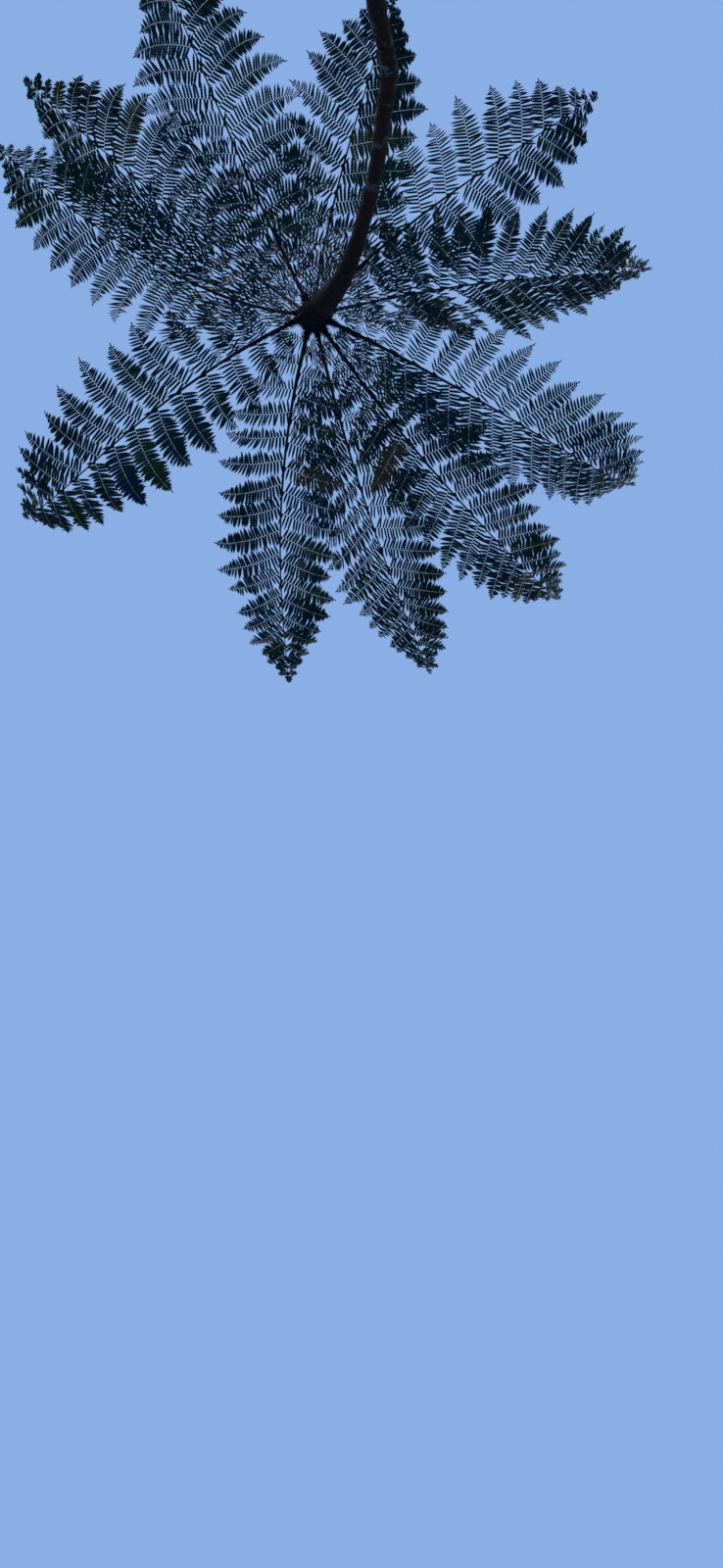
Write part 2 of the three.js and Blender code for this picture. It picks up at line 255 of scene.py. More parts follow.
def linear(code):
    """The linear colour, with an alpha of 1, of an sRGB hex value."""
    channels = np.array([int(code[i : i + 2], 16) for i in (1, 3, 5)]) / 255
    bright = ((channels + 0.055) / 1.055) ** 2.4
    return (*np.where(channels <= 0.04045, channels / 12.92, bright).tolist(), 1.0)


def toned(colour, share):
    """A colour times a share, with an alpha of 1."""
    return (*(share * channel for channel in colour[:3]), 1.0)


def unit(vectors):
    """Each vector divided by its own length."""
    return vectors / np.linalg.norm(vectors, axis=-1, keepdims=True)


def smooth_step(low, high, value):
    """0 below low, 1 above high, and an S-shaped climb between them."""
    share = np.clip((value - low) / (high - low), 0, 1)
    return share * share * (3 - 2 * share)


def round_steps(sides):
    """Equal steps of a whole turn."""
    return np.arange(sides) * 2 * math.pi / sides


def level_ways(turn):
    """The level unit vector of each turn: its cosine along X and its sine along Y."""
    return np.stack([np.cos(turn), np.sin(turn), np.zeros(turn.shape)], axis=-1)


def curve_through(knots, share):
    """Points and unit tangents at shares of the smooth curve through the knots. Between two knots
    the curve is the cubic whose slope at each knot is half the way from the knot before it to the
    knot after it, and past either end there is a mirrored knot."""
    first = 2 * knots[0] - knots[1]
    last = 2 * knots[-1] - knots[-2]
    knots = np.vstack([first, knots, last])
    spans = len(knots) - 3
    place = np.clip(share, 0, 1) * spans
    span = np.minimum(place.astype(int), spans - 1)
    t = (place - span)[..., None]
    before, start, end, after = (knots[span + i] for i in range(4))
    leave = (end - before) / 2
    arrive = (after - start) / 2
    bend = -3 * start + 3 * end - 2 * leave - arrive
    twist = 2 * start - 2 * end + leave + arrive
    points = start + leave * t + bend * t**2 + twist * t**3
    return points, unit(leave + 2 * bend * t + 3 * twist * t**2)


def trunk_centre(settings, height):
    """The middle of the trunk at each height: on the curve through the offsets up to the crown, and
    straight on from there. The kink is a bell of the height's distance from its middle."""
    levels = np.linspace(0, settings.crown_height, len(TRUNK_OFFSET_X))
    knots = np.stack([TRUNK_OFFSET_X, TRUNK_OFFSET_Y, levels], axis=1)
    points, _ = curve_through(knots, height / settings.crown_height)
    _, way = curve_through(knots, np.ones(1))
    over = np.maximum(height - settings.crown_height, 0)[..., None]
    kink = KINK_OFFSET * np.exp(-(((height - KINK_HEIGHT) / KINK_LENGTH) ** 2))
    return points + over * way[0] / way[0, 2] + kink[..., None] * [1.0, 0.0, 0.0]


def crown_hub(settings):
    """The middle of the trunk at the crown's height."""
    return trunk_centre(settings, np.array([settings.crown_height]))[0]


def trunk_radius(settings, height):
    """The plain radius at each height: a slim shaft, plus the root mantle that grows downwards by a
    square, the flare that dies off upwards, and the swelling under the crown, with a round tip."""
    mantle = settings.mantle_radius * np.maximum(0, 1 - height / MANTLE_HEIGHT) ** 2
    flare = settings.flare_radius * np.exp(-height / FLARE_HEIGHT)
    climb = np.clip((height - SWELL_START) / (settings.crown_height - SWELL_START), 0, 1)
    side = settings.shaft_radius + mantle + flare + settings.swell_radius * climb**SWELL_POWER
    tip = np.clip((height - settings.crown_height) / TIP_HEIGHT, 0, 1)
    return side * np.sqrt(1 - tip**2)


def skin(rings, first=0):
    """Points and faces of closed tubes. rings is tube, ring, side and coordinate. Each tube's rings
    are joined by four-sided faces, and its two ends are closed by fans to the rings' middles."""
    tubes, count, sides, _ = rings.shape
    index = first + np.arange(tubes * count * sides).reshape(tubes, count, sides)
    turned = np.roll(index, -1, axis=2)
    walls = np.stack([index[:, :-1], turned[:, :-1], turned[:, 1:], index[:, 1:]], axis=-1)
    poles = rings[:, [0, -1]].mean(axis=2)
    pole = first + index.size + np.arange(tubes * 2).reshape(tubes, 2, 1)
    start = np.stack(np.broadcast_arrays(pole[:, :1], turned[:, :1], index[:, :1]), axis=-1)
    end = np.stack(np.broadcast_arrays(pole[:, 1:], index[:, -1:], turned[:, -1:]), axis=-1)
    points = np.vstack([rings.reshape(-1, 3), poles.reshape(-1, 3)])
    return points, [walls.reshape(-1, 4), start.reshape(-1, 3), end.reshape(-1, 3)]


def rings_round(line, radius, turn, aside, above):
    """Rings round a line: each point stands off it by its radius, of which the turn's cosine goes
    aside and its sine goes above."""
    sideways = (radius * np.cos(turn))[..., None] * aside[:, None]
    upwards = (radius * np.sin(turn))[..., None] * above[:, None]
    return line[:, None] + sideways + upwards


def add_piece(name, points, faces, materials, dealt=None, smooth=True):
    """A mesh object of that name from points and lists of faces, riding on the fern. dealt gives
    each face its place in the list of materials."""
    mesh = bpy.data.meshes.new(name)
    mesh.vertices.add(len(points))
    mesh.vertices.foreach_set("co", np.ascontiguousarray(points, np.float32).ravel())
    corners = np.concatenate([block.ravel() for block in faces])
    widths = np.concatenate([np.full(len(block), block.shape[1]) for block in faces])
    mesh.loops.add(len(corners))
    mesh.loops.foreach_set("vertex_index", corners.astype(np.int32))
    mesh.polygons.add(len(widths))
    starts = np.concatenate([[0], np.cumsum(widths)[:-1]])
    mesh.polygons.foreach_set("loop_start", starts.astype(np.int32))
    for material in materials:
        mesh.materials.append(material)
    if dealt is not None:
        mesh.polygons.foreach_set("material_index", dealt.astype(np.int32))
    mesh.polygons.foreach_set("use_smooth", np.full(len(widths), smooth))
    mesh.update(calc_edges=True)
    piece = bpy.data.objects.new(name, mesh)
    bpy.context.scene.collection.objects.link(piece)
    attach(piece, ROOT)
    return piece


def feed(tree, node, inputs):
    """Gives each named socket of a node its value, or the output that feeds it."""
    for key, value in inputs.items():
        if isinstance(value, bpy.types.NodeSocket):
            tree.links.new(value, node.inputs[key])
        else:
            node.inputs[key].default_value = value


def add_node(tree, kind, inputs=None, stops=None, **settings):
    """A new shader node with its settings and what feeds its sockets. stops are the places and
    colours of a colour ramp."""
    node = tree.nodes.new("ShaderNode" + kind)
    for key, value in settings.items():
        setattr(node, key, value)
    for i, (place, colour) in enumerate(stops or ()):
        ramp = node.color_ramp.elements
        stop = ramp[i] if i < 2 else ramp.new(place)
        stop.position = place
        stop.color = colour
    feed(tree, node, inputs or {})
    return node


def new_material(name):
    """An empty material of that name: its node tree, its shader and its object coordinates."""
    material = bpy.data.materials.new(name)
    material.use_nodes = True
    tree = material.node_tree
    shader = tree.nodes["Principled BSDF"]
    place = add_node(tree, "TexCoord").outputs["Object"]
    return material, tree, shader, place


# The cuticle of a living frond: cellulose and wax with an IOR near 1.45, satin and a little uneven.
# The eye gets a soft gloss on dark green, with small mottles about 12 mm apart.
def blade_material(name, colour):
    material, tree, shader, place = new_material(name)
    mottle = add_node(tree, "TexNoise", {"Vector": place, "Scale": 80.0, "Detail": 2.0})
    spots = mottle.outputs["Fac"]
    stops = [(0.35, toned(colour, 0.72)), (0.65, toned(colour, 1.22))]
    tone = add_node(tree, "ValToRGB", {"Fac": spots}, stops)
    rough = add_node(tree, "MapRange", {"Value": spots, "To Min": 0.5, "To Max": 0.7})
    # Veins are under a millimetre apart, and are drawn at 4 mm to show at all.
    veins = add_node(tree, "TexNoise", {"Vector": place, "Scale": 250.0, "Detail": 1.0})
    relief = {"Height": veins.outputs["Fac"], "Strength": 0.25, "Distance": 0.0005}
    bump = add_node(tree, "Bump", relief)
    feed(tree, shader, {"Base Color": tone.outputs["Color"], "Roughness": rough.outputs["Result"]})
    feed(tree, shader, {"Normal": bump.outputs["Normal"], "IOR": 1.45, "Specular IOR Level": 0.3})
    return material


# Dry scurfy skin of a rib, hard and fibrous under it. The eye gets a nearly matt dark brown, with
# paler flakes 5 mm across and low bumps, 11 mm across on a rib, 8 mm on a crozier and 3 mm on a
# midrib. A leaflet's midrib is of pale wet tissue, which lets light through by the share clear, so
# that it shows light against the dark blade.
def rib_material(name, colour, flake, bumps_per_metre, clear=0.0):
    material, tree, shader, place = new_material(name)
    scurf = add_node(tree, "TexNoise", {"Vector": place, "Scale": 200.0, "Detail": 3.0})
    flakes = scurf.outputs["Fac"]
    tone = add_node(tree, "ValToRGB", {"Fac": flakes}, [(0.45, colour), (0.68, flake)])
    rough = add_node(tree, "MapRange", {"Value": flakes, "To Min": 0.6, "To Max": 0.85})
    fineness = {"Vector": place, "Scale": bumps_per_metre, "Detail": 4.0, "Roughness": 0.6}
    bumps = add_node(tree, "TexNoise", fineness)
    relief = {"Height": bumps.outputs["Fac"], "Strength": 0.6, "Distance": 0.0015}
    bump = add_node(tree, "Bump", relief)
    feed(tree, shader, {"Base Color": tone.outputs["Color"], "Roughness": rough.outputs["Result"]})
    feed(tree, shader, {"Normal": bump.outputs["Normal"], "IOR": 1.5, "Specular IOR Level": 0.2})
    feed(tree, shader, {"Subsurface Weight": clear, "Subsurface Radius": (1.0, 1.0, 1.0)})
    feed(tree, shader, {"Subsurface Scale": 0.006})
    return material


# Weathered bark: scarred below the crown, and lower down a mat of wiry roots 2 to 6 mm thick. It
# grows and is never worked, so it is matt all over. The eye gets near-black brown, darker in the
# hollows by painted shade, with pale grey crusts of lichen a hand across and a green film near the
# ground. The shade is painted twice: the dark hollow colour falls where the fibres' bump is
# lowest, and the colour is multiplied down the lower the stored relief lies, as in the scars'
# sunk middles and between ropes of roots.
def bark_material(settings):
    material, tree, shader, place = new_material("Weathered bark and root mantle")
    relief = add_node(tree, "Attribute", attribute_name="relief").outputs["Fac"]
    along = add_node(tree, "Mapping", {"Vector": place, "Scale": (1.0, 1.0, 0.16)})
    fineness = {"Vector": along.outputs["Vector"], "Scale": 170.0, "Detail": 5.0, "Roughness": 0.65}
    fibres = add_node(tree, "TexNoise", fineness).outputs["Fac"]
    # Painted shade: the hollows' dark colour falls where the fibres' bump is lowest, and the ridges'
    # bark colour where it is highest.
    stops = [(0.3, tuple(settings.hollow_shade_colour)), (0.72, tuple(settings.bark_colour))]
    tone = add_node(tree, "ValToRGB", {"Fac": fibres}, stops)
    # Painted shade: the colour is multiplied down to 0.45 where the stored relief is sunk, in the
    # scars' middles and between ropes of roots.
    depth = {"Value": relief, "From Min": -0.6, "From Max": 0.4, "To Min": 0.45, "To Max": 1.0}
    painted_hollow_shade = add_node(tree, "MapRange", depth)
    shaded = add_node(
        tree,
        "Mix",
        {0: 1.0, 6: tone.outputs["Color"], 7: painted_hollow_shade.outputs["Result"]},
        data_type="RGBA",
        blend_type="MULTIPLY",
    )
    fineness = {"Vector": place, "Scale": 8.0, "Detail": 6.0, "Roughness": 0.72}
    crust = add_node(tree, "TexNoise", fineness).outputs["Fac"]
    edge = {"Value": crust, "From Min": 0.56, "From Max": 0.64, "To Max": 0.75}
    crusted = add_node(tree, "MapRange", edge).outputs["Result"]
    height = add_node(tree, "SeparateXYZ", {"Vector": place}).outputs["Z"]
    upper = {"Value": height, "From Min": 6.4, "From Max": 8.2, "To Min": 1.0, "To Max": 0.1}
    reach = add_node(tree, "MapRange", upper).outputs["Result"]
    spread = add_node(tree, "Math", {0: crusted, 1: reach}, operation="MULTIPLY")
    layers = {0: spread.outputs["Value"], 6: shaded.outputs[2], 7: tuple(settings.lichen_colour)}
    grey = add_node(tree, "Mix", layers, data_type="RGBA")
    lower = {"Value": height, "From Min": 0.1, "From Max": 2.2, "To Min": 0.6, "To Max": 0.0}
    damp = add_node(tree, "MapRange", lower).outputs["Result"]
    film = add_node(tree, "Math", {0: damp, 1: crust}, operation="MULTIPLY")
    layers = {0: film.outputs["Value"], 6: grey.outputs[2], 7: tuple(settings.moss_colour)}
    green = add_node(tree, "Mix", layers, data_type="RGBA")
    bump = add_node(tree, "Bump", {"Height": fibres, "Strength": 0.8, "Distance": 0.003})
    rough = add_node(tree, "MapRange", {"Value": fibres, "To Min": 0.82, "To Max": 0.98})
    feed(tree, shader, {"Base Color": green.outputs[2], "Roughness": rough.outputs["Result"]})
    feed(tree, shader, {"Normal": bump.outputs["Normal"], "IOR": 1.5, "Specular IOR Level": 0.15})
    return material


# Dead papery scales, thin dry membranes. The eye gets a dark brown in blotches 11 mm across, with a
# faint sheen along the edges.
def scale_material(colour):
    material, tree, shader, place = new_material("Dry papery scale")
    grain = add_node(tree, "TexNoise", {"Vector": place, "Scale": 90.0, "Detail": 2.0})
    grains = grain.outputs["Fac"]
    stops = [(0.35, toned(colour, 0.55)), (0.65, colour)]
    tone = add_node(tree, "ValToRGB", {"Fac": grains}, stops)
    rough = add_node(tree, "MapRange", {"Value": grains, "To Min": 0.5, "To Max": 0.75})
    feed(tree, shader, {"Base Color": tone.outputs["Color"], "Roughness": rough.outputs["Result"]})
    feed(tree, shader, {"IOR": 1.5, "Specular IOR Level": 0.2, "Sheen Weight": 0.05})
    return material


def waves(rng, turn, height, rows):
    """A sum of waves that run round the trunk and along it. Each row is how many there are, the most
    crests round the trunk, the shortest wave along it and the size, and the waves of a row get
    random whole crests, lengths and starts."""
    total = np.zeros(np.broadcast(turn, height).shape)
    for count, crests, shortest, size in rows:
        around = rng.integers(0, crests + 1, count)
        pace = 2 * math.pi / (shortest * rng.uniform(1, 4, count)) * rng.choice([-1, 1], count)
        start = rng.uniform(0, 2 * math.pi, count)
        angle = around * turn[..., None] + pace * height[..., None] + start
        total += size * np.sin(angle).sum(axis=-1) / math.sqrt(count)
    return total


def scar_distance(turn, height, radius, settings):
    """How far each place is from the nearest leaf scar, where 1 is the scar's oval rim. The scars
    climb in one spiral, each a golden angle and one rise on from the last."""
    nearest = np.full(turn.shape, np.inf)
    base = np.round(height / settings.scar_rise)
    for step in range(-SCARS_NEAR, SCARS_NEAR + 1):
        number = base + step
        wobble = SCAR_WOBBLE * np.sin(number * WOBBLE_PACE)
        aside = turn - number * GOLDEN_ANGLE - wobble
        aside = (aside + math.pi) % (2 * math.pi) - math.pi
        across = aside * radius / (settings.scar_width / 2)
        upright = (height - number * settings.scar_rise) / (settings.scar_height / 2)
        nearest = np.minimum(nearest, np.hypot(across, upright))
    return nearest


def trunk_relief(settings, turn, height, radius):
    """How far the bark stands off the plain trunk. Rims and sunk middles of leaf scars fade out
    below the bare shaft, stubs of old stalks stand out under the crown, and ropes of roots, rounded
    ridges that wander as they climb, deepen towards the ground."""
    rng = np.random.default_rng(TRUNK_SEED)
    distance = scar_distance(turn, height, radius, settings)
    rim = np.exp(-(((distance - 1) / RIM_WIDTH) ** 2))
    sunk = 1 - smooth_step(0.2, 0.95, distance)
    scars = smooth_step(*BARE_ZONE, height) * (SCAR_RIM * rim - SCAR_DEPTH * sunk)
    stubs = smooth_step(*STUB_ZONE, height) * (1 - smooth_step(0.3, 1.15, distance))
    mantle = 1 - smooth_step(*MANTLE_ZONE, height)
    ropes = np.zeros(turn.shape)
    for crests, share in ROPES:
        wander = waves(rng, turn, height, ROPE_WANDER)
        ropes += share * np.abs(np.sin((crests * turn + wander) / 2))
    low = np.clip(1 - height / MANTLE_HEIGHT, 0, 1)
    depth = SHAFT_ROPE_DEPTH + MANTLE_ROPE_DEPTH * mantle * low
    foot = FOOT_ROPE_DEPTH * np.exp(-height / FOOT_HEIGHT)
    lumps = waves(rng, turn, height, LUMPS)
    return scars + STUB_RISE * stubs + (depth * mantle + foot) * (ropes - ROPE_MEAN) + lumps


def make_trunk(settings):
    """The trunk as one closed skin: rings of the plain radius plus the relief, round the leaning
    centre line, from the flat cut at the ground to the rounded tip."""
    shaft = settings.crown_height * np.linspace(0, 1, SHAFT_ROWS)
    climb = np.linspace(0, math.pi / 2, TIP_ROWS + 1)[1:]
    height = np.concatenate([shaft, settings.crown_height + TIP_HEIGHT * np.sin(climb)])
    turn, level = np.meshgrid(round_steps(TRUNK_COLUMNS), height)
    plain = trunk_radius(settings, level)
    relief = trunk_relief(settings, turn, level, np.maximum(plain, LEAST_SCAR_RADIUS))
    tip = np.clip((level - settings.crown_height) / TIP_HEIGHT, 0, 1)
    radius = plain + relief * (1 - tip)
    radius[-1] = TIP_POINT_RADIUS
    rings = trunk_centre(settings, height)[:, None] + radius[..., None] * level_ways(turn)
    points, faces = skin(rings[None])
    piece = add_piece("trunk-bark", points, faces, [bark_material(settings)])
    # The relief is stored so that the bark's material can paint shade into its hollows.
    depth = np.append(relief.ravel() / STUB_RISE, [0.0, 0.0])
    stored = piece.data.attributes.new("relief", "FLOAT", "POINT")
    stored.data.foreach_set("value", np.clip(depth, -1, 1).astype(np.float32))
    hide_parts("trunk")


def rib_knots(frond, hub):
    """The rib's knots, in equal steps from the trunk's middle outwards: the slope falls from the
    rise to minus the droop by a power of the way out, and the heading turns evenly by the sway."""
    along = (np.arange(RIB_STEPS) + 0.5) / RIB_STEPS
    slope = np.radians(frond["rise"] - (frond["rise"] + frond["droop"]) * along**ARCH_POWER)
    heading = np.radians(frond["heading"] + frond["sway"] * along)
    level = np.cos(slope)
    steps = np.stack([level * np.cos(heading), level * np.sin(heading), np.sin(slope)], axis=1)
    start = hub + UP * (frond["tier"] * TIER_STEP - TIER_DROP)
    return np.vstack([start, start + np.cumsum(steps, axis=0) * frond["length"] / RIB_STEPS])


def rib_frame(knots, along, roll):
    """Places on the rib with their directions: forward along it, left out to its side, level but
    for the roll about the rib, and above, upright to both."""
    points, forward = curve_through(knots, along)
    level = unit(np.cross(UP, forward))
    steep = np.cross(forward, level)
    left = math.cos(roll) * level + math.sin(roll) * steep
    return points, forward, left, np.cross(forward, left)


def rib_radius(along):
    """The rib's radius: from the stalk's to the tip's by a power of the way out."""
    return STALK_RADIUS + (RIB_TIP_RADIUS - STALK_RADIUS) * along**RIB_TAPER_POWER


def length_share(place):
    """A leaflet's length by its place on the blade: a quarter wave up to the widest place, then a
    fall by a power to the tip."""
    climb = BASE_LENGTH_SHARE + (1 - BASE_LENGTH_SHARE) * np.sin(math.pi / 2 * place / WIDEST_AT)
    fall = 1 - (np.maximum(place - WIDEST_AT, 0) / (1 - WIDEST_AT)) ** TIP_FALL_POWER
    return np.where(place < WIDEST_AT, climb, np.maximum(TIP_LENGTH_SHARE, fall))


def leaflets_of(frond, knots, rng):
    """The leaflets of a frond, alternate ones half a step further out, in steps that shorten
    towards the tip and are longer by the frond's spread, and one that ends it: each one's root,
    length and directions, and how broad its pinnules are. They stand off the rib by an angle that
    closes from base to tip, and droop, all by a little chance."""
    pairs = int(round(frond["length"] * (1 - STALK_SHARE) / (LEAFLET_PITCH * frond["spread"])))
    side = np.append(np.tile([1.0, -1.0], pairs), 1.0)
    count = (np.arange(side.size) - np.where(side > 0, 0, 0.5)) / (2 * pairs)
    place = 1 - (1 - count) ** PITCH_POWER
    chance = rng.uniform(-1, 1, (6, place.size))
    along = STALK_SHARE + (1 - STALK_SHARE) * place + PLACE_CHANCE * chance[0] * (1 - place)
    root, forward, left, above = rib_frame(knots, along, math.radians(frond["roll"]))
    angle = BASE_ANGLE + (TIP_ANGLE - BASE_ANGLE) * place**ANGLE_POWER
    angle = np.radians(np.where(count < 1, angle + ANGLE_CHANCE * chance[1], 0))[:, None]
    droop = np.radians(LEAFLET_DROOP + DROOP_CHANCE * chance[2])[:, None]
    outwards = left * side[:, None] * np.cos(droop) - above * np.sin(droop)
    aim = forward * np.cos(angle) + outwards * np.sin(angle)
    face = np.cross(forward, outwards) * side[:, None]
    twist = np.radians(LEAFLET_TWIST * chance[4])[:, None]
    onward = 1 - np.maximum(0, 1 - count - 1 / pairs) ** PITCH_POWER
    step = (onward - place) * (1 - STALK_SHARE) * frond["length"]
    steps = (np.arange(BEND_STEPS) + 0.5) / BEND_STEPS
    bend = np.radians(LEAFLET_BEND) * (1 + BEND_CHANCE * chance[5])
    slope = bend[:, None] * steps**BEND_POWER
    start = np.zeros((place.size, 1))
    return {
        "place": place,
        "chance": rng.uniform(-1, 1, place.size),
        "bend": bend,
        "reach": np.hstack([start, np.cumsum(np.cos(slope), axis=1) / BEND_STEPS]),
        "drop": np.hstack([start, np.cumsum(np.sin(slope), axis=1) / BEND_STEPS]),
        "root": root,
        "aim": aim,
        "forward": forward,
        "face": face * np.cos(twist) + np.cross(aim, face) * np.sin(twist),
        "length": frond["leaflet"] * length_share(place) * (1 + LENGTH_CHANCE * chance[3]),
        "step": np.maximum(step, SHORTEST_STEP),
        "sweep": frond["sweep"],
        "full": frond["full"] * (1 + frond["tilt"] * side),
        "close": frond["close"],
    }


def leaflet_line(leaflets, owner, way):
    """Points and unit tangents at shares of the way out along leaflets. A leaflet bends down from
    its aim by an angle that grows by a power of the way, so its reach and its drop are the sums of
    that angle's cosines and sines, and it is swept forward by the square of the way."""
    place = way * BEND_STEPS
    step = np.minimum(place.astype(int), BEND_STEPS - 1)
    part = place - step
    reach, drop = (
        (leaflets[key][owner, step] * (1 - part) + leaflets[key][owner, step + 1] * part)[..., None]
        for key in ("reach", "drop")
    )
    aim = leaflets["aim"][owner]
    length = leaflets["length"][owner][..., None]
    way = way[..., None]
    swept = leaflets["sweep"] * leaflets["forward"][owner]
    points = leaflets["root"][owner] + length * (aim * reach + swept * way**2 - UP * drop)
    bend = leaflets["bend"][owner][..., None] * way**BEND_POWER
    return points, unit(aim * np.cos(bend) + swept * 2 * way - UP * np.sin(bend))


def pinnule_share(way):
    """A pinnule's length by its place on the leaflet: a little shorter at the rib, even along the
    middle, and falling to the tip by a power of the way past the half."""
    climb = 0.88 + 0.12 * np.sin(math.pi / 2 * np.clip(way / 0.3, 0, 1))
    fall = 0.86 * (np.maximum(way - 0.5, 0) / 0.5) ** 1.5
    return climb - fall


def pinnules_of(leaflets, settings, rng):
    """The pinnules of a frond's leaflets, in two rows along each midrib and one at its tip: each
    one's owner, root, directions, length and half width. The steps between them shorten outwards.
    The half width is a share of half the step, more in a leaflet's outer part and less where it is
    short, and pinnules are longer and broader towards the frond's tip."""
    length = leaflets["length"]
    pitch = settings.pinnule_pitch * (length / USUAL_LEAFLET) ** PITCH_GROWTH
    counts = np.maximum(np.round(CLAD_SHARE * length / pitch).astype(int), FEWEST_PINNULES)
    owner = np.repeat(np.arange(length.size), counts * 2)
    first = np.repeat(np.cumsum(counts * 2) - counts * 2, counts * 2)
    order = np.arange(owner.size) - first
    hand = np.where(order % 2 == 0, 1.0, -1.0)
    count = (order + 0.5) / (2 * counts[owner])
    start = np.maximum(FIRST_PINNULE, FIRST_PINNULE / length[owner])
    way = start + (LAST_PINNULE - start) * (1 - (1 - count) ** PINNULE_POWER)
    chance = rng.uniform(-1, 1, (4, owner.size))
    root, midrib = leaflet_line(leaflets, owner, way)
    beside = unit(np.cross(leaflets["face"][owner], midrib))
    face = np.cross(midrib, beside)
    lean = FOOT_LEAN * np.exp(-way / FOOT_LEAN_REACH)
    angle = PINNULE_ANGLE - ANGLE_FALL * way**1.5 + lean + PINNULE_ANGLE_CHANCE * chance[0]
    angle = np.radians(angle)[:, None]
    droop = np.radians(PINNULE_DROOP + PINNULE_DROOP_CHANCE * chance[1])[:, None]
    outwards = beside * hand[:, None] * np.cos(droop) - face * np.sin(droop)
    aim = midrib * np.cos(angle) + outwards * np.sin(angle)
    across = unit(midrib - aim * (midrib * aim).sum(axis=1, keepdims=True))
    place = leaflets["place"]
    longest = settings.pinnule_length * length + settings.pitch_length * leaflets["step"]
    longest = longest * (1 + TIP_LENGTHENING * smooth_step(0.65, 1, place))
    reach = longest[owner] * pinnule_share(way) * (1 + PINNULE_LENGTH_CHANCE * chance[2])
    close = (settings.outer_width - 1) * leaflets["close"]
    dense = 1 + close * smooth_step(0.25, 0.75, way)
    full = FOOT_FULLNESS + FULLNESS_GAIN * smooth_step(0, 0.3, place)
    full = full + settings.tip_width * smooth_step(0.6, 1, place)
    full = full * leaflets["full"] * (1 + FULLNESS_CHANCE * leaflets["chance"])
    dense = dense * full[owner]
    half = settings.pinnule_width / 2 * pitch[owner] * dense * (0.5 + 0.5 * pinnule_share(way))
    tips = np.arange(length.size)
    tip_root, tip_aim = leaflet_line(leaflets, tips, np.full(length.size, TIP_PINNULE_AT))
    tip_across = unit(np.cross(leaflets["face"], tip_aim))
    tip_length = np.maximum(TIP_PINNULE_SHARE * length, TIP_PINNULE_LENGTH)
    joined = {
        "owner": (owner, tips),
        "root": (root, tip_root),
        "aim": (aim, tip_aim),
        "across": (across, tip_across),
        "up": (np.cross(across, aim) * hand[:, None], np.cross(tip_aim, tip_across)),
        "length": (np.maximum(reach, SHORTEST_PINNULE), tip_length),
        "half": (half, TIP_PINNULE_HALF * np.sqrt(length / 0.5)),
    }
    pinnules = {key: np.concatenate(both) for key, both in joined.items()}
    flip = (pinnules["up"] * leaflets["face"][pinnules["owner"]]).sum(axis=1) < 0
    pinnules["up"] = np.where(flip[:, None], -pinnules["up"], pinnules["up"])
    return pinnules


def pinnule_width(along):
    """A pinnule's half width by the way out, 1 at its widest: it swells evenly from the base, and
    falls away by a square in the outer half."""
    return np.minimum(1, 0.75 + 3 * along) * (1 - np.maximum((along - 0.5) / 0.5, 0) ** 2)


def pinnule_outline(lobes):
    """A pinnule one long and one wide to each side, as points (along, across) and faces. Its edges
    are notched between lobes that lean towards the tip."""
    step = LOBED_SHARE / lobes
    cuts = np.arange(lobes) / lobes * LOBED_SHARE
    rise = cuts + NEAR_CORNER * step
    crest = cuts + FAR_CORNER * step
    middle = np.stack([np.append(cuts, 1.0), np.zeros(lobes + 1)], axis=1)
    notch = np.stack([cuts, NOTCH * pinnule_width(cuts)], axis=1)
    near = np.stack([rise, pinnule_width(rise)], axis=1)
    far = np.stack([crest, FAR_WIDTH * pinnule_width(crest)], axis=1)
    right = np.vstack([notch, near, far])
    points = np.vstack([middle, right, right * (1, -1)])
    k = np.arange(lobes)
    fours, threes = [], []
    for first, turned in ((lobes + 1, 1), (4 * lobes + 1, -1)):
        notches, nears, fars = first + k, first + lobes + k, first + 2 * lobes + k
        onward = np.append(notches[1:], lobes)
        lobe = np.stack([notches, onward, fars, nears], axis=1)
        web = np.stack([k, k + 1, onward, notches], axis=1)
        fours += [lobe[:, ::turned], web[:-1, ::turned]]
        threes.append(np.array([[lobes - 1, lobes, notches[-1]]])[:, ::turned])
    return points, np.vstack(fours), np.vstack(threes)


def blades(pinnules, chosen, lobes, settings):
    """All the chosen pinnules as one set of points and faces: the outline laid along the aim and
    across it, creased along the middle, curving down and forward by the square of the way out."""
    outline, fours, threes = pinnule_outline(lobes)
    along = outline[None, :, :1]
    beside = outline[None, :, 1:]
    aim, across, up = (pinnules[key][chosen][:, None] for key in ("aim", "across", "up"))
    length = pinnules["length"][chosen][:, None, None]
    half = pinnules["half"][chosen][:, None, None]
    fall = half * settings.crease * np.abs(beside) + PINNULE_CURL * length * along**2
    points = pinnules["root"][chosen][:, None] + length * along * aim + half * beside * across
    points = points - up * fall
    points = points + across * PINNULE_HOOK * length * along**2
    first = (np.arange(len(points)) * outline.shape[0])[:, None, None]
    owner = pinnules["owner"][chosen]
    return (
        points.reshape(-1, 3),
        [(first + fours).reshape(-1, 4), (first + threes).reshape(-1, 3)],
        [np.repeat(owner, len(fours)), np.repeat(owner, len(threes))],
    )


def make_leaflets(name, leaflets, settings, materials, rng):
    """The whole blade of one frond: every pinnule, long ones with more lobes, with a material dealt
    out leaflet by leaflet."""
    pinnules = pinnules_of(leaflets, settings, rng)
    shares = np.array([getattr(settings, f"{tint}_share") for tint in TINTS])
    dealt_out = rng.choice(len(shares), leaflets["length"].size, p=shares / shares.sum())
    long = pinnules["length"] > settings.long_pinnule
    points, faces, dealt, first = [], [], [], 0
    for chosen, lobes in ((long, settings.long_lobes), (~long, settings.short_lobes)):
        some, joined, owner = blades(pinnules, chosen, lobes, settings)
        points.append(some)
        faces += [block + first for block in joined]
        dealt += [dealt_out[block] for block in owner]
        first += len(some)
    points, dealt = np.vstack(points), np.concatenate(dealt)
    return add_piece(name, points, faces, materials, dealt, smooth=False)


